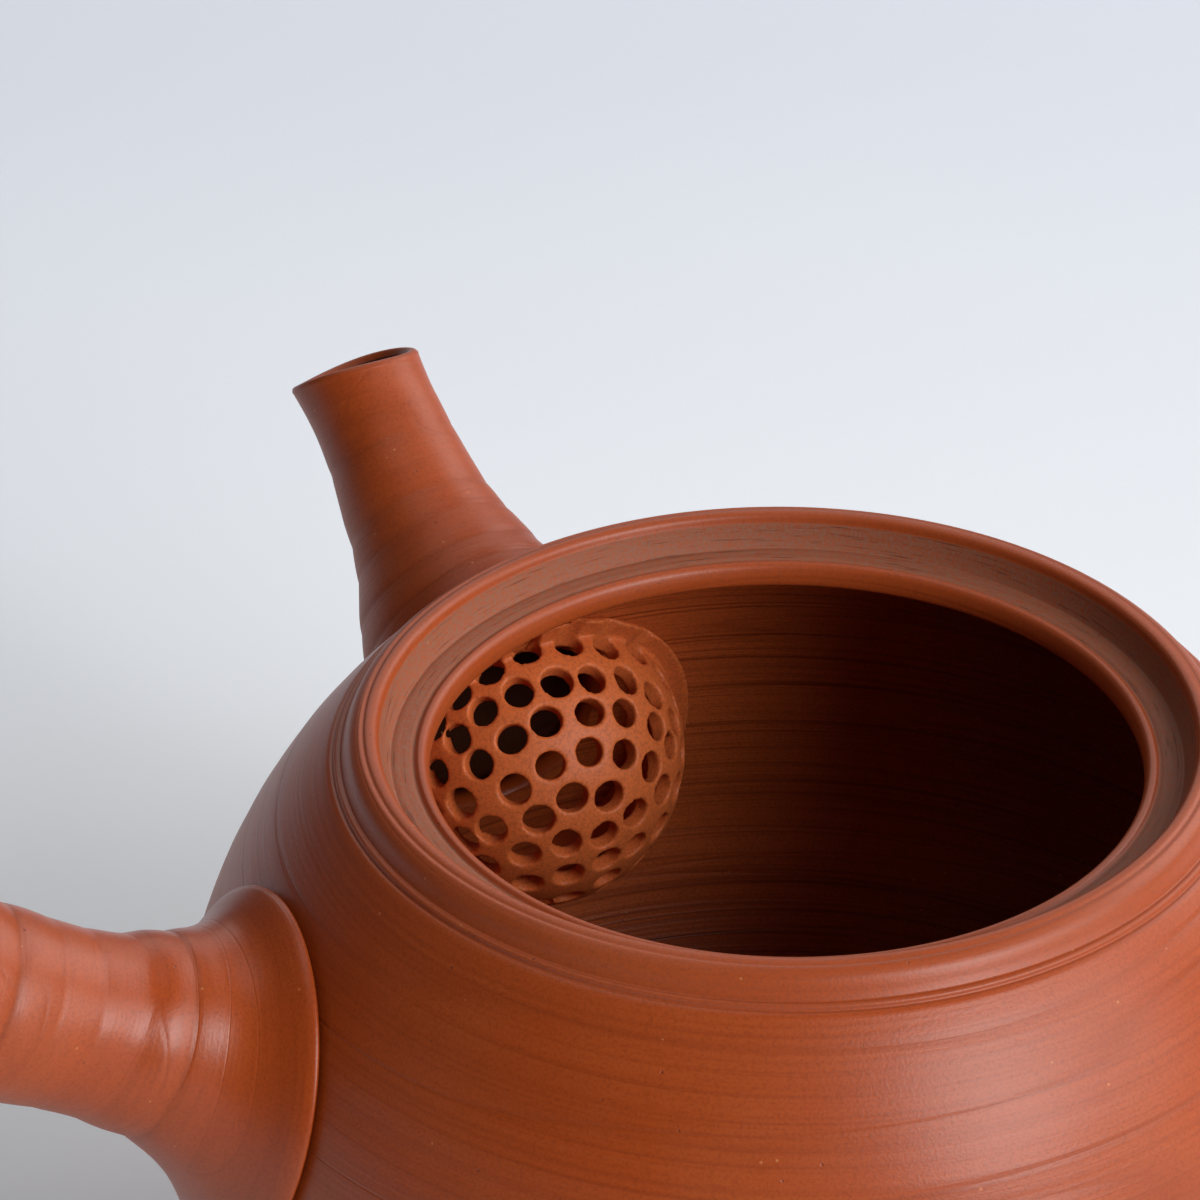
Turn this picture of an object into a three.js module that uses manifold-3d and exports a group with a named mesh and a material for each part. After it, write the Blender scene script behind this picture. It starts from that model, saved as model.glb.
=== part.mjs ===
// A side-handled clay teapot with its lid lying beside it.
// Millimetres, +Z up. The origin is the centre of the foot on the table, and the spout points along +Y.
import * as THREE from "three";
import { mergeVertices } from "three/addons/utils/BufferGeometryUtils.js";
import Module from "manifold-3d";

const wasm = await Module();
wasm.setup();

// Body: one thrown shell, round in plan
const bodyHeight = 74;
const bellyRadius = 54;
const bellyHeight = 35.3;
const footRadius = 34;
const footBevel = 1.2;
const bodyWall = 3.2;
const floorThickness = 4.4;
const floorCornerRise = 1;
const floorCornerSpread = 1.5;

// Lip, and the gallery inside it that holds the lid
const lipRadius = 36.8;
const lipWidth = 1.4;
const lipRound = 0.4;
const galleryDepth = 2.9;
const galleryTaper = 1.1;
const ledgeWidth = 2.6;

// The rounded ring around the mouth, at the inner edge of the ledge
const mouthRadius = 31;
const mouthRingRise = 0.25;
const mouthRingDepth = 1.4;
const mouthRingThickness = 2.2;

// Two turned lines just below the lip, given by their depth below it
const upperLineDrop = 1.5;
const lowerLineDrop = 2.5;
const lineWidth = 0.7;
const lineDepth = 0.35;

// Pieces luted to the body keep this gap to its face
const seatGap = 0.35;

// Spout: a tapered tube whose base follows the body
const spoutTilt = 35.6;
const spoutAxisHeight = 16;
const spoutLength = 33.5;
const spoutBaseRadius = 15.5;
const spoutTipRadius = 6.2;
const spoutFlareLength = 9.5;
const spoutFlarePower = 1.15;
const spoutWall = 1.9;
const spoutBoreLimit = 11.5;
const spoutTipSlant = 22;
const spoutTipRound = 0.5;

// Port through the body wall, between the spout and the strainer
const portRadius = 7.5;
const portHeight = 48;

// Strainer: a drilled dome luted over the port, inside the body
const domeRadius = 14.6;
const domeWall = 1.9;
const domeHeight = 44.4;
const domeSink = 2.6;
const domeTurn = -2.3;
const domeSkew = -6;
const collarWidth = 1.6;
const collarThickness = 1.1;
const strainerHoleRadius = 1.4;
const strainerHolePitch = 3.83;
const holeRingStep = 16.9;
const holeRingCrowding = 0.39;
const holeRingTurns = [57, 22.6, -4.4, 5.2, 18.9];

// Handle: a hollow tube, flanged where it meets the body and open at its far end
const handleTurn = 79.3;
const handleTilt = 32.8;
const handleAxisHeight = 16.7;
const handleLength = 54;
const handleFlangeRadius = 16.1;
const handleFlangeThickness = 1;
const handleGripRadius = 7.9;
const handleEndRadius = 9.9;
const handleFlareLength = 4;
const handleFlarePower = 1.3;
const handleWall = 2.5;
const handleBoreLimit = 11;
const handleEndRound = 1.8;

// Lid: a domed plate with a locating ring below and a knob on top
const lidClearance = 0.6;
const lidThickness = 3;
const lidEdgeRound = 0.6;
const lidCrown = 3.4;
const lidRingDepth = 5;
const lidRingThickness = 2.4;
const ventRadius = 1.2;
const ventDistance = 13;
const knobRadius = 7.6;
const knobHeight = 12.5;
const knobNeckRadius = 4.3;
const knobFootRadius = 5.4;
const knobNeckHeight = 2.6;

// The lid lies on the table on the side away from the handle
const lidDistance = 8;
const lidTurn = -100;

// Facet counts
const bodySides = 44;
const tubeSides = 24;
const domeSides = 24;
const cavitySides = 12;
const holeSides = 7;
const lidSides = 34;
const knobSides = 20;

const radians = THREE.MathUtils.degToRad;
const up = new THREE.Vector3(0, 0, 1);

// The body's outer face is two quarter ellipses that meet at the belly
const shoulderRise = (bodyHeight - bellyHeight) / Math.sqrt(1 - (lipRadius / bellyRadius) ** 2);
const lowerDrop = bellyHeight / Math.sqrt(1 - (footRadius / bellyRadius) ** 2);

// The gallery's sizes, which the lid shares
const galleryFootRadius = lipRadius - lipWidth - galleryTaper;
const ledgeHeight = bodyHeight - galleryDepth;
const ledgeInnerRadius = galleryFootRadius - ledgeWidth;
const lidRadius = galleryFootRadius - lidClearance;
const lidRingRadius = mouthRadius - lidClearance;

function ellipseRise(z) {
  return z > bellyHeight ? shoulderRise : lowerDrop;
}

// A point of the body's section: on the outer face at height z, then moved inward square to that face
function wallPoint(z, depth) {
  const rise = ellipseRise(z);
  const radius = bellyRadius * Math.sqrt(1 - ((z - bellyHeight) / rise) ** 2);
  const square = new THREE.Vector2(radius / bellyRadius ** 2, (z - bellyHeight) / rise ** 2);
  square.normalize();
  return new THREE.Vector2(radius - square.x * depth, z - square.y * depth);
}

// Points along the wall from the belly to the height of end, evenly turned about the ellipse
function wallCurve(end, depth, count) {
  const rise = ellipseRise(end);
  const reach = Math.asin((end - bellyHeight) / rise);
  const points = [];
  for (let i = 0; i <= count; i += 1) {
    points.push(wallPoint(bellyHeight + rise * Math.sin((reach * i) / count), depth));
  }
  return points;
}

// A turned solid about +Z, from a section that starts and ends on the axis
function turned(section, sides) {
  return new THREE.LatheGeometry(section, sides).rotateX(Math.PI / 2);
}

// A closed solid from rings of points, each joined to the next and the last to the first
function lofted(rings) {
  const sides = rings[0].length;
  const index = [];
  rings.forEach((ring, i) => {
    const here = i * sides;
    const next = ((i + 1) % rings.length) * sides;
    for (let j = 0; j < sides; j += 1) {
      const k = (j + 1) % sides;
      index.push(here + j, here + k, next + k);
      index.push(here + j, next + k, next + j);
    }
  });
  const geometry = new THREE.BufferGeometry().setFromPoints(rings.flat());
  geometry.setIndex(index);
  return geometry;
}

function toSolid(geometry) {
  geometry.deleteAttribute("normal");
  geometry.deleteAttribute("uv");
  const merged = mergeVertices(geometry, 1e-4);
  const index = merged.index.array;
  const faces = [];
  for (let i = 0; i < index.length; i += 3) {
    const [a, b, c] = index.slice(i, i + 3);
    if (a !== b && b !== c && a !== c) {
      faces.push(a, b, c);
    }
  }
  const vertProperties = new Float32Array(merged.attributes.position.array);
  const triVerts = new Uint32Array(faces);
  return new wasm.Manifold(new wasm.Mesh({ numProp: 3, vertProperties, triVerts }));
}

function toMesh(name, solid, material) {
  const { vertProperties, triVerts } = solid.getMesh();
  const geometry = new THREE.BufferGeometry();
  geometry.setAttribute("position", new THREE.BufferAttribute(vertProperties, 3));
  geometry.setIndex(new THREE.BufferAttribute(triVerts, 1));
  geometry.computeVertexNormals();
  const mesh = new THREE.Mesh(geometry, material);
  mesh.name = name;
  return mesh;
}

function clay(color) {
  return new THREE.MeshStandardMaterial({ color, roughness: 0.55, metalness: 0 });
}

// Outer face, from the axis under the foot up to the turned lines
function footAndWallSection() {
  const top = bodyHeight - lowerLineDrop - lineWidth;
  const foot = wallPoint(footBevel, 0);
  return [
    new THREE.Vector2(0, 0),
    new THREE.Vector2(foot.x - footBevel, 0),
    ...wallCurve(footBevel, 0, 6).reverse(),
    ...wallCurve(top, 0, 7).slice(1),
  ];
}

// Each turned line is a small V cut square to the shoulder
function lineSection(drop) {
  const z = bodyHeight - drop;
  return [wallPoint(z - lineWidth / 2, 0), wallPoint(z, lineDepth), wallPoint(z + lineWidth / 2, 0)];
}

// Rounded lip, gallery wall, flat ledge, and the ring around the mouth
function gallerySection() {
  const ringCrest = ledgeHeight + mouthRingRise;
  const ringBottom = ledgeHeight - mouthRingThickness;
  const ringWidth = ledgeInnerRadius - mouthRadius;
  return [
    wallPoint(bodyHeight - lipRound, 0),
    new THREE.Vector2(lipRadius - lipRound, bodyHeight),
    new THREE.Vector2(lipRadius - lipWidth + lipRound, bodyHeight),
    new THREE.Vector2(lipRadius - lipWidth, bodyHeight - lipRound),
    new THREE.Vector2(galleryFootRadius, ledgeHeight),
    new THREE.Vector2(ledgeInnerRadius, ledgeHeight),
    new THREE.Vector2(ledgeInnerRadius - ringWidth / 4, ringCrest),
    new THREE.Vector2(mouthRadius + ringWidth / 3, ledgeHeight - mouthRingRise),
    new THREE.Vector2(mouthRadius, ledgeHeight - mouthRingDepth),
    new THREE.Vector2(mouthRadius + ringWidth, ringBottom),
  ];
}

// Inner face from just under the ledge down to the floor, at a depth below the outer face
function innerSection(depth) {
  const top = bodyHeight - galleryDepth - mouthRingThickness - depth / 4;
  const upper = wallCurve(top, depth, 6).reverse();
  const lower = wallCurve(footBevel, depth, 9).slice(1);
  return [...upper, ...lower].filter((point) => point.y > floorThickness + floorCornerRise);
}

// The wall runs into the floor along a short sloping corner
function floorSection(depth) {
  const corner = innerSection(depth).pop();
  const run = (corner.y - floorThickness) * floorCornerSpread;
  return [new THREE.Vector2(corner.x - run, floorThickness), new THREE.Vector2(0, floorThickness)];
}

// The space inside the body wall, down to the floor, kept at a depth below the outer face
function innerSpace(depth) {
  const rising = [...innerSection(depth), ...floorSection(depth)].reverse();
  const top = rising[rising.length - 1].y;
  return toSolid(turned([...rising, new THREE.Vector2(0, top)], bodySides));
}

function makeBody() {
  const section = [
    ...footAndWallSection(),
    ...lineSection(lowerLineDrop),
    ...lineSection(upperLineDrop),
    ...gallerySection(),
    ...innerSection(bodyWall),
    ...floorSection(bodyWall),
  ];
  const shell = toSolid(turned(section, bodySides));
  const drill = new THREE.CylinderGeometry(portRadius, portRadius, bellyRadius, tubeSides);
  drill.translate(0, bellyRadius, portHeight);
  return toMesh("body", shell.subtract(toSolid(drill)), clay(0xb4532e));
}

// A tube's own frame: its axis crosses the body's axis at a height, turned from +Y and tilted up
function tubeFrame(turn, tilt, height) {
  const a = radians(turn);
  const b = radians(tilt);
  const axis = new THREE.Vector3(-Math.sin(a) * Math.cos(b), Math.cos(a) * Math.cos(b), Math.sin(b));
  const side = new THREE.Vector3(Math.cos(a), Math.sin(a), 0);
  const under = new THREE.Vector3().crossVectors(axis, side);
  return { origin: new THREE.Vector3(0, 0, height), axis, side, under };
}

// How far along a direction the line from start leaves the body's outer face, kept clear by the seat gap
function exitDistance(start, direction) {
  let distance = 0;
  for (const rise of [shoulderRise, lowerDrop]) {
    const scale = new THREE.Vector3(bellyRadius, bellyRadius, rise).addScalar(seatGap);
    const p = start.clone().addScaledVector(up, -bellyHeight).divide(scale);
    const d = direction.clone().divide(scale);
    const half = p.dot(d);
    const root = Math.sqrt(half ** 2 - d.lengthSq() * (p.lengthSq() - 1));
    const exit = (root - half) / d.lengthSq();
    const above = start.z + direction.z * exit > bellyHeight;
    if (above === (rise === shoulderRise)) {
      distance = exit;
    }
  }
  return distance;
}

// One ring of a tube. Near the body it follows the body's face, and near the tip it follows the slant
function tubeRing(tube, rise, radius) {
  const { frame, length, baseRadius, slant } = tube;
  const middle = exitDistance(frame.origin, frame.axis);
  const follow = Math.exp(-((rise / (baseRadius * 0.75)) ** 2));
  const shear = Math.max(0, 1 - (length - rise) / baseRadius) * Math.tan(radians(slant));
  const points = [];
  for (let i = 0; i < tubeSides; i += 1) {
    const angle = (2 * Math.PI * i) / tubeSides;
    const offset = frame.side.clone().multiplyScalar(radius * Math.cos(angle));
    offset.addScaledVector(frame.under, radius * Math.sin(angle)).add(frame.origin);
    const seat = exitDistance(offset, frame.axis) - middle;
    const along = middle + rise + seat * follow + shear * radius * Math.sin(angle);
    points.push(offset.addScaledVector(frame.axis, along));
  }
  return points;
}

// A thrown tube from stations of rise and radius on its outside, with a plainer bore inside them
function makeTube(tube) {
  const { length, steps, outside, wall, boreLimit, endRound } = tube;
  const outer = [];
  const bore = [];
  for (let i = 0; i < steps; i += 1) {
    const rise = (length - endRound) * (i / (steps - 1)) ** 2;
    outer.push([rise, outside(rise)]);
    if (i % 2 === 0) {
      bore.push([rise, Math.min(boreLimit, outside(rise) - wall)]);
    }
  }
  const rim = outside(length);
  outer.push([length - endRound / 4, rim - wall / 4], [length, rim - wall / 2]);
  bore.push([length - endRound / 4, rim - wall]);
  const stations = [...outer, ...bore.reverse()];
  return toSolid(lofted(stations.map(([rise, radius]) => tubeRing(tube, rise, radius))));
}

// The radius of a tube that flares toward its base
function flare(rise, base, throat, flareLength, power) {
  return throat + (base - throat) * Math.exp(-((Math.max(rise, 0) / flareLength) ** power));
}

function makeSpout() {
  const solid = makeTube({
    frame: tubeFrame(0, spoutTilt, spoutAxisHeight),
    length: spoutLength,
    baseRadius: spoutBaseRadius,
    slant: spoutTipSlant,
    wall: spoutWall,
    boreLimit: spoutBoreLimit,
    endRound: spoutTipRound,
    steps: 11,
    outside: (rise) => flare(rise, spoutBaseRadius, spoutTipRadius, spoutFlareLength, spoutFlarePower),
  });
  return toMesh("spout", solid, clay(0xa84e2c));
}

// The flange keeps its full radius for its own thickness, and the grip widens toward the far end
function handleOutside(rise) {
  const neck = rise - handleFlangeThickness;
  const tube = flare(neck, handleFlangeRadius, handleGripRadius, handleFlareLength, handleFlarePower);
  return tube + (handleEndRadius - handleGripRadius) * (rise / handleLength) ** 2;
}

function makeHandle() {
  const solid = makeTube({
    frame: tubeFrame(handleTurn, handleTilt, handleAxisHeight),
    length: handleLength,
    baseRadius: handleFlangeRadius,
    slant: 0,
    wall: handleWall,
    boreLimit: handleBoreLimit,
    endRound: handleEndRound,
    steps: 13,
    outside: handleOutside,
  });
  return toMesh("handle", solid, clay(0xbd5a33));
}

// The dome's place: its centre lies inside the wall, and its axis points into the body
function domePlacement() {
  const frame = tubeFrame(domeTurn, 0, domeHeight);
  const reach = exitDistance(frame.origin, frame.axis) - seatGap - bodyWall - domeSink;
  const centre = frame.origin.clone().addScaledVector(frame.axis, reach);
  const inward = frame.axis.clone().negate().applyAxisAngle(up, radians(domeSkew));
  const side = new THREE.Vector3().crossVectors(up, inward);
  return new THREE.Matrix4().makeBasis(side, up, inward).setPosition(centre);
}

// A round-nosed plug about the dome's axis: a half ball of the radius, and a straight tail behind it
function domePlug(radius, placement, sides) {
  const tail = -domeRadius;
  const section = [new THREE.Vector2(0, tail), new THREE.Vector2(radius, tail)];
  const steps = Math.round(sides / 4);
  for (let i = 0; i <= steps; i += 1) {
    const angle = (Math.PI / 2) * (i / steps);
    section.push(new THREE.Vector2(radius * Math.cos(angle), radius * Math.sin(angle)));
  }
  section[section.length - 1].x = 0;
  return toSolid(turned(section, sides).applyMatrix4(placement));
}

// The directions of the holes: one at the crown, then rings that hold as many as fit at the pitch
function holeDirections() {
  const directions = [new THREE.Vector3(0, 0, 1)];
  holeRingTurns.forEach((ringTurn, i) => {
    const ring = i + 1;
    const fall = radians(holeRingStep * ring - holeRingCrowding * ring ** 2);
    const around = 2 * Math.PI * domeRadius * Math.sin(fall);
    const count = Math.floor(around / strainerHolePitch);
    for (let j = 0; j < count; j += 1) {
      const turn = radians(ringTurn) + (2 * Math.PI * j) / count;
      const across = Math.sin(fall);
      const direction = new THREE.Vector3(across * Math.cos(turn), across * Math.sin(turn), Math.cos(fall));
      directions.push(direction);
    }
  });
  return directions;
}

function makeStrainer() {
  const placement = domePlacement();
  const room = innerSpace(bodyWall + seatGap);
  const collarRadius = domeRadius + collarWidth;
  const collar = new THREE.CylinderGeometry(collarRadius, collarRadius, 2 * domeRadius, domeSides);
  collar.rotateX(Math.PI / 2).applyMatrix4(placement);
  const band = toSolid(collar).intersect(room).subtract(innerSpace(bodyWall + seatGap + collarThickness));
  let solid = domePlug(domeRadius, placement, domeSides).intersect(room).add(band);
  solid = solid.subtract(domePlug(domeRadius - domeWall, placement, cavitySides));
  for (const direction of holeDirections()) {
    const depth = 2 * domeWall;
    const drill = new THREE.CylinderGeometry(strainerHoleRadius, strainerHoleRadius, depth, holeSides);
    drill.rotateX(Math.PI / 2).translate(0, 0, domeRadius - domeWall / 2);
    drill.applyQuaternion(new THREE.Quaternion().setFromUnitVectors(up, direction));
    solid = solid.subtract(toSolid(drill.applyMatrix4(placement)));
  }
  return toMesh("strainer", solid, clay(0xb04f2b));
}

// A crowned face: its height falls from the middle to nothing at the lid's edge
function crownHeight(radius) {
  return lidCrown * (1 - (radius / lidRadius) ** 2);
}

function makeLid() {
  const plate = lidRingDepth;
  const ringInner = lidRingRadius - lidRingThickness;
  const knobSeat = plate + lidThickness + crownHeight(knobFootRadius);
  const section = [new THREE.Vector2(0, plate + crownHeight(ringInner / 2))];
  section.push(new THREE.Vector2(ringInner / 2, plate + crownHeight(ringInner / 2)));
  section.push(new THREE.Vector2(ringInner, plate + crownHeight(ringInner)));
  section.push(new THREE.Vector2(ringInner, 0));
  section.push(new THREE.Vector2(lidRingRadius, 0));
  section.push(new THREE.Vector2(lidRingRadius, plate));
  section.push(new THREE.Vector2(lidRadius - lidEdgeRound, plate));
  section.push(new THREE.Vector2(lidRadius, plate + lidEdgeRound));
  section.push(new THREE.Vector2(lidRadius, plate + lidThickness - lidEdgeRound));
  const steps = 7;
  for (let i = steps; i >= 0; i -= 1) {
    const radius = knobFootRadius + (lidRadius - lidEdgeRound - knobFootRadius) * (i / steps);
    section.push(new THREE.Vector2(radius, plate + lidThickness + crownHeight(radius)));
  }
  section.push(new THREE.Vector2(0, knobSeat));
  const vent = new THREE.CylinderGeometry(ventRadius, ventRadius, 4 * lidThickness, holeSides);
  vent.rotateX(Math.PI / 2).translate(0, ventDistance, plate + lidThickness);
  return toMesh("lid", toSolid(turned(section, lidSides)).subtract(toSolid(vent)), clay(0xb4532e));
}

function makeKnob() {
  const section = [new THREE.Vector2(0, 0), new THREE.Vector2(knobFootRadius - seatGap, 0)];
  section.push(new THREE.Vector2(knobNeckRadius, knobNeckHeight));
  const halfHeight = (knobHeight - knobNeckHeight) / 2;
  const start = -Math.acos(knobNeckRadius / knobRadius);
  const steps = 8;
  for (let i = 1; i <= steps; i += 1) {
    const angle = start + (Math.PI / 2 - start) * (i / steps);
    const height = knobHeight - halfHeight + halfHeight * Math.sin(angle);
    section.push(new THREE.Vector2(knobRadius * Math.cos(angle), height));
  }
  section[section.length - 1].x = 0;
  const knob = toMesh("lid_knob", toSolid(turned(section, knobSides)), clay(0xb4532e));
  knob.position.z = lidRingDepth + lidThickness + crownHeight(knobFootRadius) + seatGap;
  return knob;
}

const pot = new THREE.Group();
pot.add(makeBody(), makeSpout(), makeStrainer(), makeHandle());

const lidGroup = new THREE.Group();
const lidReach = bellyRadius + lidDistance + lidRadius;
lidGroup.position.set(-Math.sin(radians(lidTurn)), Math.cos(radians(lidTurn)), 0).multiplyScalar(lidReach);
lidGroup.add(makeLid(), makeKnob());

const teapot = new THREE.Group();
teapot.add(pot, lidGroup);

export default teapot;
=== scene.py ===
"""A wheel-thrown teapot of unglazed red clay: body, spout, drilled strainer, side handle, and its lid beside it."""

import math

import bpy
import numpy as np
from mathutils import Matrix, Vector


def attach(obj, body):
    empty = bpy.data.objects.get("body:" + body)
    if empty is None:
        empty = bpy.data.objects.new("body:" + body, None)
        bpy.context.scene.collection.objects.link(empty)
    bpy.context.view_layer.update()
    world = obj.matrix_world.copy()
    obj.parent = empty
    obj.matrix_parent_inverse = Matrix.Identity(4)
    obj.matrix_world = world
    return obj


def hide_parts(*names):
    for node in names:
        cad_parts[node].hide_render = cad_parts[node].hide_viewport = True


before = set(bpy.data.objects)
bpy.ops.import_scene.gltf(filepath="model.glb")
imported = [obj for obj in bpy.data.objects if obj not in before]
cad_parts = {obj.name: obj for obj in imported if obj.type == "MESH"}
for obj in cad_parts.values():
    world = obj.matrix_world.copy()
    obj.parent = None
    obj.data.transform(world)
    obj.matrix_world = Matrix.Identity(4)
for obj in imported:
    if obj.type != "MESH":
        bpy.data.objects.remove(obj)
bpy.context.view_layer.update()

bl_info = {
    "name": "Side-handled clay teapot",
    "version": (1, 0, 0),
    "blender": (4, 5, 0),
    "location": "3D View > Sidebar > Teapot",
    "description": "Builds a wheel-thrown teapot with a side handle, a drilled strainer and a lid",
    "category": "Add Mesh",
}

MM = 0.001
# Radius of the end rings of a cutting solid, in millimetres, which its poles close
NEAR_AXIS = 0.1

# The lip and gallery, as radius and height above the lip plane in millimetres, from the shoulder inward
LIP_LINE = [
    (39.4, -2.68), (39.26, -2.67), (39.18, -2.5), (39.17, -2.34), (39.02, -2.18), (38.8, -2.14),
    (38.6, -2.15), (38.48, -1.98), (38.34, -1.72), (38.2, -1.42), (38.06, -1.08), (37.78, -0.58),
    (37.3, -0.14), (36.85, 0.08), (36.62, 0.04), (36.42, 0.16), (36.05, 0.24), (35.65, 0.17), (35.4, -0.05),
    (35.26, -0.42), (35, -1.2), (34.64, -2.1), (34.42, -2.55), (34.26, -2.78), (34.04, -2.74),
    (33.3, -2.76), (32.5, -2.84), (32.3, -2.95), (32.14, -2.86), (31.88, -2.64), (31.5, -2.64),
    (31.18, -2.9), (31, -3.4), (30.94, -4.1), (31.08, -4.74), (31.7, -5.12), (33.6, -5.5), (36.7, -6.45),
]
# Between these radii the gallery stays raw from the tool. The rest of the lip is smoothed with a damp cloth
RAW_FROM_RADIUS = 35.2
RAW_TO_RADIUS = 32.2
# Height of the foot's rounded edge, in millimetres
FOOT_ROUND = 1.2
# The rounded edge of a tube's tip: back from the tip and in from the outer face, in shares of the wall
TIP_EDGE = [(0.5, 0), (0.12, 0.2), (0, 0.5), (0.12, 0.8), (0.5, 1)]

# Outer radius of the spout and of the handle by the distance from the body, in millimetres
SPOUT_LINE = [
    (0, 14), (1.6, 12.1), (3, 11.5), (4.6, 11.1), (6.2, 10.6), (7.9, 9.95), (9.6, 9.4), (11.4, 8.7),
    (13.4, 8), (15.4, 7.5), (17.4, 7.1), (19.4, 6.85), (21.4, 6.6), (24.4, 6.3), (28.4, 6.05), (31, 6.13),
    (33.5, 6.32),
]
HANDLE_LINE = [
    (0, 14.1), (0.2, 14.5), (0.42, 15.2), (0.8, 15.6), (1.2, 15.45), (1.6, 14.9), (2, 14.1), (2.5, 13.1),
    (3, 12.3), (3.6, 11.55), (4.3, 10.9), (5.5, 10.15), (7, 9.5), (9, 8.9), (10.7, 8.65), (13, 8.1),
    (17, 7.97), (23, 8.3), (30, 8.6), (38, 8.8), (46, 9.2), (51, 9.7), (54, 9.9),
]
# How far each tube is bent off its straight axis: distance from the body, then sideways and downward
SPOUT_BEND = [
    (0, -0.37, 0), (4, -0.46, 0), (8, -0.55, 0), (13, -0.15, 0), (19, -0.05, 0), (26, 0.34, 0),
    (33.5, 0.4, 0),
]
HANDLE_BEND = [
    (0, -1, -1), (2, 0, -0.7), (4.5, 0.15, -1), (8, 0, -1.3), (13, 0, -0.65), (20, 0, 0.17), (30, 0, 0.6),
    (54, 0, 0),
]
# Sharp valleys between the throwing ridges: distance from the body, depth and width in millimetres
SPOUT_CREASES = [
    (5.5, 0.16, 0.6), (8.8, 0.17, 0.6), (13.2, 0.13, 0.7), (16.6, 0.13, 0.7), (24, 0.11, 0.9),
]
HANDLE_CREASES = [
    (5.7, 0.04, 1.3), (8.6, 0.18, 0.6), (12.8, 0.08, 1.2), (17, 0.11, 1.1), (21, 0.1, 1.1),
    (25.4, 0.2, 0.9), (31, 0.12, 1.4), (36.5, 0.2, 1.3), (43, 0.12, 1.4), (48.5, 0.18, 1.3),
]

# The strainer's holes, ring by ring from its crown: the fall from the crown and the turn about it, in degrees
HOLES = [
    (7.3, -31.6), (9.6, -155), (14.6, 53.5), (15.5, 112.8), (20.4, 159.9), (22.2, -107.9), (19, -64.7),
    (20.2, 1), (34.3, 26.3), (31.2, 53.5), (30.3, 83.2), (30.6, 114.6), (33.5, 144.4), (37, 176.7),
    (25.8, -160.9), (33.5, -131.2), (41.3, -94.7), (33.8, -69.6), (26.8, -37.5), (36.7, 3.3), (49.8, 19.8),
    (48.9, 35.8), (46.5, 58.6), (45, 79.8), (45.5, 104.1), (46.9, 123.9), (49.7, 144.5), (49.8, 166.4),
    (47.9, -173.4), (42.8, -155.9), (48, -131.5), (47.6, -108.5), (47.6, -68.6), (47.3, -47.5),
    (40.2, -24.7), (50, -6), (61, 4.9), (60.9, 22.1), (60.8, 40.5), (60.4, 57.3), (58, 75.1), (58.3, 91.8),
    (60.4, 108.9), (62.3, 125.6), (62.5, 141.4), (63.2, 159.2), (62, 176.9), (62.2, -166), (62.3, -149),
    (62.3, -132), (62.3, -115), (62.2, -97.9), (62, -80.9), (61.8, -63.8), (61.6, -46.7), (61.4, -29.5),
    (61.2, -12.4), (74.1, 18.8), (77.5, 31.4), (78.6, 47.2), (74, 64), (74, 80.5), (74.7, 98), (74.2, 114),
    (74.2, 129.3), (74.9, 144.3), (75.1, 160), (75.2, 175.6), (75.4, -168.8), (75.5, -153.2),
    (75.5, -137.6), (75.5, -122), (75.5, -106.4), (75.4, -90.8), (75.2, -75.2), (75, -59.5), (74.8, -43.9),
    (74.6, -28.2), (74.4, -12.6), (74.2, 3.1),
]


def length(name, millimetres, description):
    return bpy.props.FloatProperty(
        name=name,
        description=description,
        default=millimetres * MM,
        subtype="DISTANCE",
        unit="LENGTH",
        precision=4,
    )


def angle(name, degrees, description):
    return bpy.props.FloatProperty(
        name=name,
        description=description,
        default=math.radians(degrees),
        subtype="ANGLE",
        unit="ROTATION",
    )


def colour(name, code, description):
    return bpy.props.FloatVectorProperty(
        name=name,
        description=description,
        default=linear(code)[:3],
        subtype="COLOR",
        size=3,
        min=0,
        max=1,
    )


def power(name, watts, description):
    return bpy.props.FloatProperty(name=name, description=description, default=watts, unit="POWER")


def linear(code):
    """Turns an sRGB hex code into Blender's linear colour with full alpha."""
    channels = [int(code[i : i + 2], 16) / 255 for i in (1, 3, 5)]
    return [c / 12.92 if c <= 0.04045 else ((c + 0.055) / 1.055) ** 2.4 for c in channels] + [1.0]


class BodySizes(bpy.types.PropertyGroup):
    """Sizes of the thrown body"""

    height: length("Height", 74, "From the foot to the plane of the lip")
    belly: length("Belly radius", 54, "Largest outer radius")
    belly_height: length("Belly height", 35.3, "Height of the largest radius")
    foot: length("Foot radius", 34, "Outer radius at the foot")
    mouth_rim: length("Rim radius", 36.8, "Radius at which the shoulder would meet the lip plane")
    wall: length("Wall", 3.2, "Thickness of the wall")
    floor: length("Floor", 4.4, "Thickness of the floor")
    port: length("Port radius", 9.5, "Radius of the port from the strainer into the spout")
    port_height: length("Port height", 47.5, "Height of the port's axis")
    ring_pitch: length("Ring pitch", 4.2, "Spacing of the soft rings that the fingers leave")
    ring_depth: length("Ring depth", 0.1, "Height of those rings")


class SpoutSizes(bpy.types.PropertyGroup):
    """Sizes of the spout"""

    tilt: angle("Tilt", 35.6, "Rise of the spout's axis above the horizontal")
    axis_height: length("Axis height", 16, "Where the spout's axis crosses the body's axis")
    length: length("Length", 33.5, "From the body to the tip along the axis")
    wall: length("Wall", 0.98, "Thickness of the wall at the tip")
    slant: angle("Slant", 24.0, "How far the tip is cut back from square")
    lean: angle("Lean", 3.5, "How far the tip is cut to one side")
    wave: bpy.props.FloatProperty(name="Wave", description="How uneven the cut at the tip is", default=-0.05)
    ring_pitch: length("Ring pitch", 5.0, "Spacing of the throwing rings")
    ring_depth: length("Ring depth", 0.12, "Height of the throwing rings")


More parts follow.
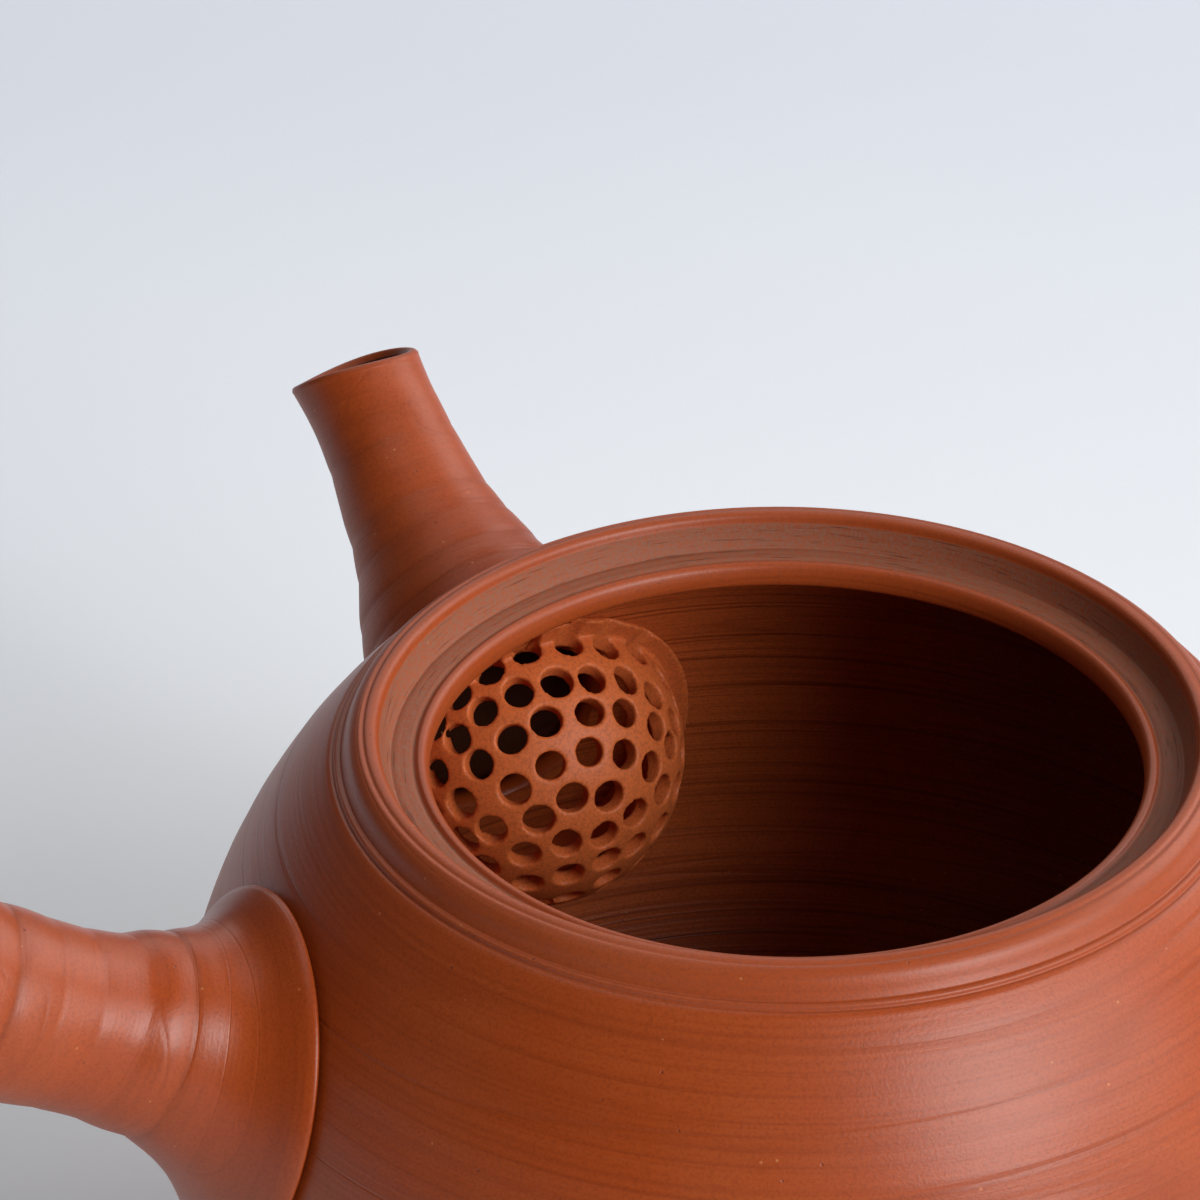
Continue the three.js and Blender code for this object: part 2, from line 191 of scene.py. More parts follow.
class StrainerSizes(bpy.types.PropertyGroup):
    """Sizes of the drilled dome"""

    radius: length("Radius", 14.6, "Outer radius of the dome")
    wall: length("Wall", 1.7, "Thickness of the dome")
    height: length("Height", 44.4, "Height of the dome's centre")
    turn: angle("Turn", -2.3, "Turn of the dome's centre from the spout, about the body")
    skew: angle("Skew", -6, "Turn of the dome's axis from straight inward")
    sink: length("Sink", 2.6, "How far the dome's centre lies inside the wall's inner face")
    hole: length("Hole radius", 1.42, "Radius of each drilled hole")
    collar: length("Collar", 1.9, "Width of the clay smeared out round the dome")
    seed: bpy.props.IntProperty(name="Seed", description="Seed for the uneven drilling", default=7)


class HandleSizes(bpy.types.PropertyGroup):
    """Sizes of the hollow handle"""

    turn: angle("Turn", 79.3, "From the spout round to the handle")
    tilt: angle("Tilt", 32.8, "Rise of the handle's axis above the horizontal")
    axis_height: length("Axis height", 16.7, "Where the handle's axis crosses the body's axis")
    length: length("Length", 54, "From the body to the far end along the axis")
    wall: length("Wall", 2.5, "Thickness of the wall")
    ring_pitch: length("Ring pitch", 6.5, "Spacing of the throwing rings")
    ring_depth: length("Ring depth", 0.14, "Height of the throwing rings")


class LidSizes(bpy.types.PropertyGroup):
    """Sizes of the lid and its knob"""

    radius: length("Radius", 33.7, "Outer radius of the lid")
    ring: length("Locating ring radius", 30.4, "Outer radius of the ring that drops into the mouth")
    ring_depth: length("Locating ring depth", 5, "Height of that ring")
    ring_wall: length("Locating ring wall", 2.4, "Thickness of that ring")
    thickness: length("Thickness", 3, "Thickness of the plate")
    crown: length("Crown", 3.4, "Rise of the plate from its edge to its middle")
    knob: length("Knob radius", 7.6, "Largest radius of the knob")
    knob_height: length("Knob height", 12.5, "Height of the knob")
    vent: length("Vent radius", 1.2, "Radius of the steam hole")
    vent_reach: length("Vent reach", 13, "From the lid's axis to the steam hole")
    turn: angle("Turn", -100, "Where the lid lies, from the spout round the body")
    reach: length("Reach", 95.7, "From the body's axis to the lid's")


class ClayLook(bpy.types.PropertyGroup):
    """Colours and finish of the clay"""

    lit: colour("Clay", "#A44312", "The clay where it is burnished")
    deep: colour("Deep clay", "#7A2E0A", "The darker streaks left by the tool")
    pale: colour("Pale clay", "#A84E22", "The paler clouds from the kiln")
    dusty: colour("Dusty clay", "#8C5A45", "The clay where the turning tool left it raw")
    # Paler than the burnished clay: partly unburnished clay, partly painted light that brightens the shaded
    # strainer and inner wall
    inner: colour("Inner clay", "#D86C32", "Strainer and inner wall, which no finger has burnished")
    torn: colour("Torn clay", "#34180D", "The short scratches in raw clay")
    # Painted shade: the colour for the bore, the floor, the foot grooves and the deep creases
    tea: colour("Painted shade", "#2A130A", "The bore, the floor and the deep creases")
    # Painted shade: the colour that darkens one side of the inside
    shaded_side: colour("Painted side shade", "#1C100B", "The darker side of the inside")
    sand: colour("Sand", "#D08A55", "The grains of sand")
    pit: colour("Pits", "#30160C", "The small pits")
    roughness: bpy.props.FloatProperty(
        name="Roughness", description="Roughness of burnished clay", default=0.38, min=0, max=1
    )


class StageLook(bpy.types.PropertyGroup):
    """Camera, paper and light"""

    distance: length("Camera distance", 518.1, "From the middle of the mouth to the camera")
    azimuth: angle("Camera azimuth", 33, "How far the camera stands round from behind the spout")
    elevation: angle("Camera elevation", 32.43, "Rise of the camera above the lip plane")
    aim_turn: angle("Aim turn", 2.11, "How far the camera turns left of the mouth")
    aim_tilt: angle("Aim tilt", 1.17, "How far the camera tilts above the mouth")
    roll: angle("Roll", -0.15, "Roll of the camera about its own axis")
    paper: colour("Paper", "#F9FCFF", "The sheet of paper under the pot")
    window: power("Window", 21.0, "Soft light from the right of the camera")
    far_window: power("Window, far side", 6.9, "The part of that window farther from the camera")
    right_wall: power("Right wall", 16.7, "Light thrown back from behind on the right")
    back_wall: power("Back wall", 7.6, "Light thrown back from behind")
    left_ceiling: power("Left ceiling", 5.2, "Light thrown down from above on the left")
    room: colour("Room", "#EEF2FA", "The pale room all round")


# ---- shapes in millimetres -------------------------------------------------------------------------


def smooth_line(points, spacing):
    """Points at a near even spacing along a smooth curve through the given ones."""
    p = np.asarray(points, float)
    gap = np.linalg.norm(np.diff(p, axis=0), axis=1)
    slope = np.diff(p, axis=0) / gap[:, None]
    inner = (slope[1:] * gap[:-1, None] + slope[:-1] * gap[1:, None]) / (gap[1:] + gap[:-1])[:, None]
    slope = np.vstack([slope[:1], inner, slope[-1:]])
    made = []
    for a, b, m, n, h in zip(p[:-1], p[1:], slope[:-1], slope[1:], gap):
        t = np.linspace(0, 1, max(2, math.ceil(h / spacing)), endpoint=False)[:, None]
        ease = t * t * (3 - 2 * t)
        made.append(a * (1 - ease) + b * ease + h * m * t * (1 - t) ** 2 - h * n * t * t * (1 - t))
    return np.vstack(made + [p[-1:]])


def ellipse_rise(body, z):
    """Vertical radius of the outer face's upper or lower ellipse, at heights z."""
    upper = (body.height - body.belly_height) / math.sqrt(1 - (body.mouth_rim / body.belly) ** 2)
    lower = body.belly_height / math.sqrt(1 - (body.foot / body.belly) ** 2)
    return np.where(np.asarray(z) > body.belly_height / MM, upper, lower) / MM


def wall_line(body, z, depth):
    """Radius and height of the outer face at heights z, moved inward square to it by the depth."""
    z = np.asarray(z, float)
    belly, middle, rise = body.belly / MM, body.belly_height / MM, ellipse_rise(body, z)
    radius = belly * np.sqrt(1 - ((z - middle) / rise) ** 2)
    square = np.stack([radius / belly**2, (z - middle) / rise**2], -1)
    square /= np.linalg.norm(square, axis=-1, keepdims=True)
    return np.stack([radius, z], -1) - square * depth


def wall_heights(body, low, high, spacing):
    """Heights from low to high that lie evenly along the outer face."""
    fine = np.linspace(low, high, 400)
    run = np.linalg.norm(np.diff(wall_line(body, fine, 0), axis=0), axis=1)
    run = np.concatenate([[0], np.cumsum(run)])
    return np.interp(np.linspace(0, run[-1], math.ceil(run[-1] / spacing)), run, fine)


def exit_distance(body, start, direction):
    """How far along the direction each line from start leaves the body's outer face."""
    start = np.atleast_2d(start)
    middle = np.array([0, 0, body.belly_height / MM])
    found = np.zeros(len(start))
    for z, above in ((body.height / MM, True), (0.0, False)):
        scale = np.array([body.belly / MM, body.belly / MM, float(ellipse_rise(body, z))])
        p, d = (start - middle) / scale, direction / scale
        half = p @ d
        gap = (np.sqrt(half**2 - (d @ d) * ((p * p).sum(1) - 1)) - half) / (d @ d)
        here = (start[:, 2] + direction[2] * gap > middle[2]) == above
        found[here] = gap[here]
    return found


def tube_frame(turn, tilt):
    """Axis, side and under directions of a tube that leaves the body at a turn from +Y and a tilt."""
    axis = np.array([-math.sin(turn) * math.cos(tilt), math.cos(turn) * math.cos(tilt), math.sin(tilt)])
    side = np.array([math.cos(turn), math.sin(turn), 0.0])
    return axis, side, np.cross(axis, side)


# ---- meshes ----------------------------------------------------------------------------------------


def mesh_object(name, points, faces, layers=None):
    """A smooth mesh object from points in millimetres, with any named point layers."""
    mesh = bpy.data.meshes.new(name)
    mesh.from_pydata((np.asarray(points) * MM).tolist(), [], faces)
    mesh.polygons.foreach_set("use_smooth", [True] * len(mesh.polygons))
    for layer, values in (layers or {}).items():
        values = np.asarray(values, np.float32)
        kind, slot = ("FLOAT_VECTOR", "vector") if values.ndim == 2 else ("FLOAT", "value")
        mesh.attributes.new(layer, kind, "POINT").data.foreach_set(slot, values.ravel())
    mesh.update()
    made = bpy.data.objects.new(name, mesh)
    bpy.context.scene.collection.objects.link(made)
    return made


def skin(name, rows, marks, closed, poles=False):
    """Joins rows of points, each a closed ring, into one surface.

    The point layer "wheel" holds where a point is on the wheel: the cosine and sine of its turn, and
    the way along the profile in metres. Each of the marks is one value for each row."""
    rows = np.asarray(rows, float)
    count, sides = rows.shape[:2]
    turn = 2 * np.pi * np.arange(sides) / sides
    run = np.linalg.norm(np.diff(rows.mean(1), axis=0), axis=1)
    run = np.hypot(run, np.diff(np.linalg.norm(rows - rows.mean(1, keepdims=True), axis=2).mean(1)))
    run = np.concatenate([[0], np.cumsum(run)]) * MM
    wheel = np.zeros((count, sides, 3))
    wheel[..., 0], wheel[..., 1], wheel[..., 2] = np.cos(turn), np.sin(turn), run[:, None]
    points, wheel = rows.reshape(-1, 3), wheel.reshape(-1, 3)
    layers = {key: np.repeat(value, sides) for key, value in marks.items()}
    last = count if closed else count - 1
    faces = []
    for i in range(last):
        here, there = i * sides, ((i + 1) % count) * sides
        for j in range(sides):
            k = (j + 1) % sides
            faces.append((here + j, here + k, there + k, there + j))
    if poles:
        first, final = len(points), len(points) + 1
        points = np.vstack([points, rows[0].mean(0), rows[-1].mean(0)])
        wheel = np.vstack([wheel, wheel[0] * (0, 0, 1), wheel[-1] * (0, 0, 1)])
        layers = {key: np.append(value, (marks[key][0], marks[key][-1])) for key, value in layers.items()}
        base = (count - 1) * sides
        faces += [(first, (j + 1) % sides, j) for j in range(sides)]
        faces += [(final, base + j, base + (j + 1) % sides) for j in range(sides)]
    return mesh_object(name, points, faces, {"wheel": wheel, **layers})


def turned(name, profile, sides, marks=None, centre=(0, 0, 0)):
    """A solid turned about the vertical from radius and height, both ends near the axis."""
    profile = np.asarray(profile, float)
    turn = 2 * np.pi * np.arange(sides) / sides
    rows = np.zeros((len(profile), sides, 3))
    rows[..., 0] = profile[:, :1] * np.cos(turn) + centre[0]
    rows[..., 1] = profile[:, :1] * np.sin(turn) + centre[1]
    rows[..., 2] = profile[:, 1:] + centre[2]
    return skin(name, rows, marks or {}, closed=False, poles=True)


def rod(name, radius, low, high, sides, marks=None):
    """A plain upright rod, to cut with or to cut from. Each of the marks is one value for all of it."""
    corners = [(NEAR_AXIS, low), (radius, low), (radius, high), (NEAR_AXIS, high)]
    return turned(name, corners, sides, {key: np.full(4, value) for key, value in (marks or {}).items()})


def boolean(target, other, operation):
    step = target.modifiers.new(operation, "BOOLEAN")
    step.object, step.operation, step.solver = other, operation, "EXACT"


def add_node(tree, kind, inputs=None, **settings):
    """Adds a node, applies its settings, and sets or links its inputs by name or number."""
    node = tree.nodes.new(kind)
    for key, value in settings.items():
        setattr(node, key, value)
    for key, value in (inputs or {}).items():
        if isinstance(value, bpy.types.NodeSocket):
            tree.links.new(value, node.inputs[key])
        else:
            node.inputs[key].default_value = value
    return node


def node_tree(name, sockets):
    """A geometry node tree with named inputs, and its input node."""
    tree = bpy.data.node_groups.new(name, "GeometryNodeTree")
    tree.interface.new_socket(name="Geometry", in_out="OUTPUT", socket_type="NodeSocketGeometry")
    for label, kind in [("Geometry", "Geometry")] + sockets:
        tree.interface.new_socket(name=label, in_out="INPUT", socket_type="NodeSocket" + kind)
    return tree, add_node(tree, "NodeGroupInput").outputs


def end_tree(tree, geometry, material):
    """Ends a tree in Realize Instances and Set Material."""
    real = add_node(tree, "GeometryNodeRealizeInstances", {"Geometry": geometry})
    dressed = add_node(tree, "GeometryNodeSetMaterial", {"Geometry": real.outputs[0], "Material": material})
    add_node(tree, "NodeGroupOutput", {"Geometry": dressed.outputs[0]})


def run_tree(piece, tree, values):
    """Runs a tree on a piece as a modifier, with its inputs given by name."""
    modifier = piece.modifiers.new(tree.name, "NODES")
    modifier.node_group = tree
    for item in tree.interface.items_tree:
        if item.in_out == "INPUT" and item.name in values:
            modifier[item.identifier] = values[item.name]


def settle(piece):
    """Turns a piece's modifiers into a plain mesh."""
    graph = bpy.context.evaluated_depsgraph_get()
    mesh = bpy.data.meshes.new_from_object(
        piece.evaluated_get(graph), preserve_all_data_layers=True, depsgraph=graph
    )
    piece.modifiers.clear()
    piece.data = mesh
    mesh.name = piece.name
    mesh.polygons.foreach_set("use_smooth", [True] * len(mesh.polygons))


def ring_tree():
    """Soft rings of uneven height round a thrown piece, where its "rings" layer lets them show."""
    sockets = [("Pitch", "Float"), ("Depth", "Float"), ("Wander", "Float"), ("Seed", "Float"), ("Clay", "Material")]
    tree, given = node_tree("Throwing rings", sockets)
    wheel = add_node(tree, "GeometryNodeInputNamedAttribute", {"Name": "wheel"}, data_type="FLOAT_VECTOR")
    shown = add_node(tree, "GeometryNodeInputNamedAttribute", {"Name": "rings"}, data_type="FLOAT")
    part = add_node(tree, "ShaderNodeSeparateXYZ", {0: wheel.outputs[0]}).outputs
    around = [math_node(tree, "MULTIPLY", part[i], given["Wander"]) for i in range(2)]
    step = math_node(tree, "ADD", math_node(tree, "DIVIDE", part[2], given["Pitch"]), given["Seed"])
    place = add_node(tree, "ShaderNodeCombineXYZ", {0: around[0], 1: around[1], 2: step})
    noise = add_node(
        tree, "ShaderNodeTexNoise", {"Vector": place.outputs[0], "Scale": 1.0, "Detail": 1.5, "Roughness": 0.45}
    )
    level = add_node(tree, "ShaderNodeMapRange", {"Value": noise.outputs[0], "To Min": -1.0, "To Max": 1.0})
    height = math_node(tree, "MULTIPLY", level.outputs[0], given["Depth"])
    height = math_node(tree, "MULTIPLY", height, shown.outputs[0])
    normal = add_node(tree, "GeometryNodeInputNormal")
    offset = add_node(tree, "ShaderNodeVectorMath", {0: normal.outputs[0], "Scale": height}, operation="SCALE")
    moved = add_node(tree, "GeometryNodeSetPosition", {"Geometry": given["Geometry"], "Offset": offset.outputs[0]})
    end_tree(tree, moved.outputs[0], given["Clay"])
    return tree


def drill_tree():
    """Drills a hole at each point of another object, along that point's outward direction.

    Each hole is a little askew, and up to a tenth wider or narrower either way, as drilled by hand."""
    askew, uneven = 0.07, 0.1
    sockets = [("Points", "Object"), ("Radius", "Float"), ("Depth", "Float"), ("Seed", "Int"), ("Clay", "Material")]
    tree, given = node_tree("Drilled holes", sockets)

    def drawn(low, high):
        ends = {0: low, 1: high, "Seed": given["Seed"]}
        return add_node(tree, "FunctionNodeRandomValue", ends, data_type="FLOAT_VECTOR").outputs[0]

    info = add_node(tree, "GeometryNodeObjectInfo", {"Object": given["Points"]})
    outward = add_node(tree, "GeometryNodeInputNamedAttribute", {"Name": "outward"}, data_type="FLOAT_VECTOR")
    wobble = drawn((-askew, -askew, -askew), (askew, askew, askew))
    aim = add_node(tree, "ShaderNodeVectorMath", {0: outward.outputs[0], 1: wobble})
    turn = add_node(tree, "FunctionNodeAlignRotationToVector", {"Vector": aim.outputs[0]}, axis="Z")
    spread = drawn((1 - uneven, 1 - uneven, 1.0), (1 + uneven, 1 + uneven, 1.0))
    size = add_node(tree, "ShaderNodeCombineXYZ", {0: given["Radius"], 1: given["Radius"], 2: given["Depth"]})
    scale = add_node(tree, "ShaderNodeVectorMath", {0: size.outputs[0], 1: spread}, operation="MULTIPLY")
    bit = add_node(tree, "GeometryNodeMeshCylinder", {"Vertices": 20, "Radius": 1.0, "Depth": 1.0})
    bits = add_node(
        tree,
        "GeometryNodeInstanceOnPoints",
        {
            "Points": info.outputs["Geometry"],
            "Instance": bit.outputs[0],
            "Rotation": turn.outputs[0],
            "Scale": scale.outputs[0],
        },
    )
    real = add_node(tree, "GeometryNodeRealizeInstances", {"Geometry": bits.outputs[0]})
    cut = add_node(tree, "GeometryNodeMeshBoolean", operation="DIFFERENCE", solver="EXACT")
    tree.links.new(given["Geometry"], cut.inputs["Mesh 1"])
    tree.links.new(real.outputs[0], cut.inputs["Mesh 2"])
    cut.inputs["Self Intersection"].default_value = True
    end_tree(tree, cut.outputs[0], given["Clay"])
    return tree


# ---- clay and paper --------------------------------------------------------------------------------

# How many times the patterns of the clay come in a metre
CLOUDS, GRAIN, TOOL_LINES, SLIP_BANDS, SCORES, SCRATCHES, SAND_CELLS = 50, 3500, 2300, 170, 230, 4500, 900


def new_material(name):
    material = bpy.data.materials.new(name)
    material.use_nodes = True
    material.node_tree.nodes.clear()
    return material, material.node_tree


def math_node(tree, operation, a, b):
    return add_node(tree, "ShaderNodeMath", {0: a, 1: b}, operation=operation).outputs[0]


def noise_node(tree, where, scale, detail):
    """Noise whose pattern has its own scale, per metre, along each axis."""
    at = add_node(tree, "ShaderNodeMapping", {"Vector": where, "Scale": scale}).outputs[0]
    return add_node(
        tree, "ShaderNodeTexNoise", {"Vector": at, "Scale": 1.0, "Detail": detail, "Roughness": 0.55}
    ).outputs[0]


def stretched(tree, value, low, high, top):
    """The value spread so that low gives 0 and high gives the top, and held within them."""
    return add_node(
        tree, "ShaderNodeMapRange", {"Value": value, "From Min": low, "From Max": high, "To Max": top}
    ).outputs[0]


def mixed(tree, factor, a, b):
    return add_node(tree, "ShaderNodeMix", {0: factor, 6: a, 7: b}, data_type="RGBA").outputs[2]


def red_clay(name, look, thrown=True, shine=0.0, sandy=0.05):
    """Fine red stoneware clay, fired without glaze.

    Burnished by fingers and a damp cloth it has a broad, soft shine. Fine tool lines run round it, and a
    few pale grains of sand and dark pits show in it. Where the turning tool left it raw it is dusty,
    greyer and matt. A piece that is not thrown is bare all over and has no tool lines."""
    material, tree = new_material(name)

    def layer(key):
        return add_node(tree, "ShaderNodeAttribute", attribute_name=key).outputs

    def times(a, b):
        return math_node(tree, "MULTIPLY", a, b)

    def less(a, b):
        return math_node(tree, "SUBTRACT", a, b)

    def toward(key, factor, tone):
        return mixed(tree, factor, tone, list(getattr(look, key)) + [1.0])

    place = add_node(tree, "ShaderNodeTexCoord").outputs["Object"]
    # Clouds 20 mm across from the kiln, and grain 0.3 mm across
    patch = noise_node(tree, place, (CLOUDS, CLOUDS, CLOUDS), 3.0)
    grain = noise_node(tree, place, (GRAIN, GRAIN, GRAIN), 3.0)
    height = times(grain, 0.6)
    tone = toward("pale", stretched(tree, patch, 0.42, 0.7, 0.5), list(look.lit) + [1.0])
    bareness, rawness, stain = 1.0, 0.15, 0.0
    if thrown:
        bareness, rawness, stain = (layer(key)["Fac"] for key in ("bare", "raw", "stain"))
    # Pale clay where bare: partly unburnished clay, partly painted light on the shaded inside
    tone = toward("inner", bareness, tone)
    if thrown:
        wheel, tooling = layer("wheel")["Vector"], layer("lines")["Fac"]
        # Tool lines 0.4 mm apart, bands of slip 6 mm wide, and a few scored lines
        fine = noise_node(tree, wheel, (0.7, 0.7, TOOL_LINES), 4.0)
        band = noise_node(tree, wheel, (0.6, 0.6, SLIP_BANDS), 2.0)
        score = noise_node(tree, wheel, (0.45, 0.45, SCORES), 0.0)
        score = stretched(tree, math_node(tree, "ABSOLUTE", less(score, 0.5), 0.0), 0.022, 0.0, 1.0)
        tone = toward("deep", times(stretched(tree, fine, 0.5, 0.72, 0.36), tooling), tone)
        tone = toward("pale", times(stretched(tree, fine, 0.5, 0.3, 0.36), tooling), tone)
        tone = toward("deep", stretched(tree, band, 0.45, 0.7, 0.14), tone)
        scored = times(score, math_node(tree, "MINIMUM", tooling, 1.0))
        tone = toward("deep", times(scored, 0.22), tone)
        height = less(math_node(tree, "ADD", height, times(fine, tooling)), scored)
    tone = toward("deep", stretched(tree, grain, 0.45, 0.75, 0.5), tone)
    dust = times(math_node(tree, "ADD", stretched(tree, grain, 0.35, 0.6, 0.6), 0.4), rawness)
    tone = toward("dusty", dust, tone)
    if thrown:
        # Short scratches, 5 mm long and 0.2 mm wide, where the turning tool tore the raw clay
        torn = noise_node(tree, wheel, (7, 7, SCRATCHES), 2.0)
        torn = times(stretched(tree, torn, 0.6, 0.72, 0.5), rawness)
        tone = toward("torn", torn, tone)
        height = less(height, torn)
    # Painted shade in the bore, the port, the lower inside and its floor, the foot grooves and the deep creases
    tone = toward("tea", times(stain, 0.9), tone)
    if thrown:
        # Painted shade: one side of the inside is darkened, where shade falls inside the pot
        turn = add_node(tree, "ShaderNodeSeparateXYZ", {0: wheel}).outputs[0]
        tone = toward("shaded_side", times(stretched(tree, turn, 0.35, 0.9, 0.92), bareness), tone)
    # Sand grains 0.2 mm across, one in about 140 square millimetres where sandy is 0.05, and as few dark pits
    cell = add_node(tree, "ShaderNodeTexVoronoi", {"Vector": place, "Scale": SAND_CELLS})
    near = stretched(tree, cell.outputs["Distance"], 0.14, 0.06, 1.0)
    chance = add_node(tree, "ShaderNodeSeparateColor", {0: cell.outputs["Color"]}).outputs
    sand = times(near, math_node(tree, "GREATER_THAN", chance[0], 1.0 - sandy))
    pit = times(near, math_node(tree, "LESS_THAN", chance[1], 0.04))
    tone = toward("sand", times(sand, 0.5), tone)
    tone = toward("pit", times(pit, 0.5), tone)
    height = less(height, times(pit, 1.2))
    # The clouds make the shine uneven, and raw clay and clay under painted shade hardly shine
    rough = math_node(tree, "ADD", times(patch, 0.12), look.roughness - 0.06 - shine)
    rough = math_node(tree, "ADD", rough, times(rawness, 0.25))
    dull = math_node(tree, "MAXIMUM", stain, times(rawness, 0.5))
    bump = add_node(tree, "ShaderNodeBump", {"Strength": 1.0, "Distance": 0.03 * MM, "Height": height})
    finish = {"Base Color": tone, "Roughness": rough, "Normal": bump.outputs[0], "IOR": 1.5}
    finish["Specular IOR Level"] = less(0.43, times(dull, 0.42))
    shader = add_node(tree, "ShaderNodeBsdfPrincipled", finish)
    add_node(tree, "ShaderNodeOutputMaterial", {"Surface": shader.outputs[0]})
    return material


def paper(look):
    """A large sheet of heavy matt paper with a faint tooth, with painted light that makes it lighter near the pot
    and a little greyer farther out.
    """
    near, far = 0.12, 0.32
    material, tree = new_material("Matt paper")
    place = add_node(tree, "ShaderNodeTexCoord").outputs["Object"]
    cloud = add_node(tree, "ShaderNodeTexNoise", {"Vector": place, "Scale": 9.0, "Detail": 4.0}).outputs[0]
    tooth = add_node(tree, "ShaderNodeTexNoise", {"Vector": place, "Scale": 500.0, "Detail": 3.0}).outputs[0]
    light = list(look.paper) + [1.0]
    dim = [c * share for c, share in zip(look.paper, (0.85, 0.865, 0.92))] + [1.0]
    # Painted light: the paper is lighter near the pot, lifting the pot's shadow on it, and greyer from near to far
    reach = add_node(tree, "ShaderNodeVectorMath", {0: place}, operation="LENGTH").outputs["Value"]
    painted_light_and_mottle = math_node(tree, "ADD", stretched(tree, reach, near, far, 1.0), math_node(tree, "MULTIPLY", cloud, 0.3))
    tone = mixed(tree, math_node(tree, "MINIMUM", painted_light_and_mottle, 1.0), light, dim)
    bump = add_node(tree, "ShaderNodeBump", {"Strength": 0.25, "Distance": 0.1 * MM, "Height": tooth})
    finish = {"Base Color": tone, "Roughness": 0.9, "Normal": bump.outputs[0], "Specular IOR Level": 0.2}
    shader = add_node(tree, "ShaderNodeBsdfPrincipled", finish)
    add_node(tree, "ShaderNodeOutputMaterial", {"Surface": shader.outputs[0]})
    return material


# ---- operators -------------------------------------------------------------------------------------


def dress(piece, node, body, values, material):
    """Runs the throwing rings on a piece and puts it in the place of its CAD node."""
    tree = bpy.data.node_groups.get("Throwing rings") or ring_tree()
    run_tree(piece, tree, {**values, "Clay": material})
    settle(piece)
    place(piece, node, body)


def place(piece, node, body):
    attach(piece, body)
    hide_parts(node)


class TEAPOT_OT_body(bpy.types.Operator):
    """Throw the body: one shell with a lip, a gallery for the lid and a ring round the mouth"""

    bl_idname = "teapot.body"
    bl_label = "Body"

    def execute(self, context):
        body = context.scene.teapot_body
        top, floor, port = body.height / MM, body.floor / MM, body.port / MM
        lip = smooth_line(LIP_LINE, 0.15) + (0, top)
        foot = wall_line(body, FOOT_ROUND, 0)
        under = smooth_line([(0.5, 0), (foot[0] - 6, 0), (foot[0] - 1.6, 0), (foot[0] - 0.35, 0.3), foot], 1.0)
        outer = wall_line(body, wall_heights(body, FOOT_ROUND, top - 2.72, 0.5), 0)
        inner = wall_line(body, wall_heights(body, 11, top - 6, 0.9)[::-1], body.wall / MM)
        bottom = smooth_line([inner[-1], (inner[-1][0] - 4.5, floor + 1.4), (24, floor + 0.2), (0.5, floor)], 1.2)
        parts = (under, outer[1:], lip, inner, bottom[1:])
        profile = np.vstack(parts)
        kinds = np.repeat(np.arange(len(parts)), [len(part) for part in parts])
        UNDER, OUTER, LIP, INNER, FLOOR = range(len(parts))
        radius, z = profile.T
        gallery = (kinds == LIP) & (radius < RAW_FROM_RADIUS) & (radius > RAW_TO_RADIUS) & (z > top - 3.5)
        flat = (kinds == UNDER) | (kinds == FLOOR)
        fade = np.clip((top - 3 - z) / 5, 0, 1) * np.clip(z / 4, 0, 1)
        marks = {
            "raw": np.select([gallery, kinds == LIP, kinds == INNER, flat], [1.0, 0.12, 0.1, 0.7], 0.0),
            "rings": np.select([kinds == OUTER, kinds == INNER], [1.0, 1.4], 0.0) * fade,
            "lines": np.select([kinds == OUTER, kinds == INNER, gallery], [1.0, 2.6, 1.2], 0.5),
            # Painted shade on the inner wall and floor, darker towards the bottom
            "stain": np.where(kinds >= INNER, 0.5 * np.clip((30 - z) / 20, 0, 1), 0.0),
            # The inner wall takes the pale clay, partly painted light
            "bare": (kinds == INNER) * 0.8,
        }
        shell = turned("teapot_body", profile, 200, marks)
        # The port's cut face is all painted shade
        drill = rod("port drill", port, 30, 62, 48, {"raw": 1.0, "rings": 0.0, "lines": 0.0, "stain": 1.0})
        turn = Matrix.Translation((0, 0, body.port_height)) @ Matrix.Rotation(-math.pi / 2, 4, "X")
        drill.data.transform(turn)
        boolean(shell, drill, "DIFFERENCE")
        settle(shell)
        bpy.data.objects.remove(drill)
        values = {"Pitch": body.ring_pitch, "Depth": body.ring_depth, "Wander": 1.1, "Seed": 3.0}
        dress(shell, "body", "pot", values, red_clay("Burnished red clay", context.scene.teapot_clay))
        return {"FINISHED"}


